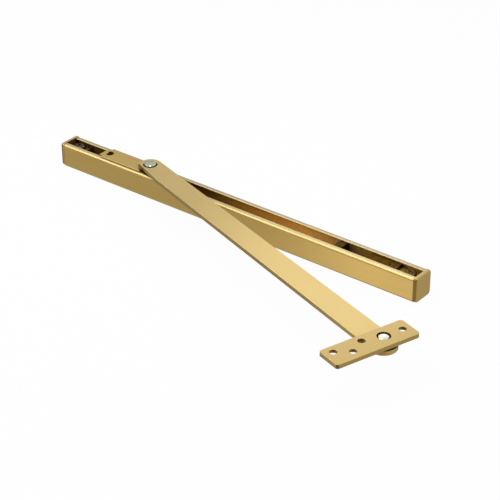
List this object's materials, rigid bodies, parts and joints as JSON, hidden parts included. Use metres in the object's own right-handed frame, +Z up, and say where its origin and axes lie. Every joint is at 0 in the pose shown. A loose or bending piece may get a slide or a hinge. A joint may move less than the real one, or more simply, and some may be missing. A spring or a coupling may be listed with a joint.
{
  "type": "overhead door holder",
  "caption": "Channel-type overhead door closer arm and holder: a block slides in a slotted channel, a flat arm swings on it and ends in a pivoting jamb plate.",
  "frame": {"origin": "centre of the channel's mounting face, midway between the end caps", "axes": "+X along the channel towards the buffer end, +Z up through the slot towards the jamb plate's mounting face, so the arm is swung towards -Y"},
  "size_m": [0.5204, 0.2029, 0.0408],
  "materials": {
    "satin_brass": "satin brushed brass, clear lacquered",
    "cap_brass": "satin brass casting",
    "plate_brass": "satin brass",
    "arm_brass": "satin brushed brass, long grain",
    "jamb_brass": "satin brass",
    "slide_zinc": "brass coloured zinc casting",
    "zinc_steel": "zinc plated steel",
    "ground_steel": "ground steel",
    "polished_steel": "bright steel rivet",
    "spring_steel": "oiled spring steel",
    "black_steel": "blackened steel",
    "bronze": "sintered bronze",
    "buffer_rubber": "moulded rubber",
    "nylon": "dark nylon"
  },
  "bodies": {
    "channel": {"channel": "satin_brass", "left_end_cap": "cap_brass", "right_end_cap": "cap_brass", "end_screws": "zinc_steel", "buffer_housing": "black_steel", "housing_screws": "zinc_steel", "lock_screw": "zinc_steel", "gland_bushing": "bronze", "buffer_spring": "spring_steel"},
    "buffer": {"buffer_rod": "ground_steel", "buffer_carrier": "black_steel", "buffer_pad": "buffer_rubber"},
    "slide": {"slide_block": "slide_zinc", "slide_plate": "plate_brass", "plate_pins": "ground_steel", "friction_screw": "zinc_steel", "friction_shoes": "nylon", "thrust_washer": "nylon", "slide_stud": "polished_steel"},
    "arm": {"arm_bar": "arm_brass", "slide_end_bushing": "bronze", "jamb_end_bushing": "bronze"},
    "jamb_bracket": {"jamb_plate": "jamb_brass", "jamb_stud": "polished_steel", "jamb_spacer": "nylon"}
  },
  "joints": [
    {"name": "slide_travel", "type": "slide", "parent": "channel", "child": "slide", "axis": [1, 0, 0], "range_m": [-0.0242, 0.2229]},
    {"name": "arm_swing", "type": "hinge", "parent": "slide", "child": "arm", "pos_m": [-0.1124, 0, 0.0313], "axis": [0, 0, 1], "range_deg": [-91.4, 128.5]},
    {"name": "jamb_swing", "type": "hinge", "parent": "arm", "child": "jamb_bracket", "pos_m": [0.26932, -0.12817, 0.0313], "axis": [0, 0, 1], "continuous": true},
    {"name": "buffer_stroke", "type": "slide", "parent": "channel", "child": "buffer", "axis": [1, 0, 0], "range_m": [0, 0.009], "stiffness_N_per_m": 6000, "springref_m": -0.002, "deforming": ["buffer_spring"]}
  ]
}
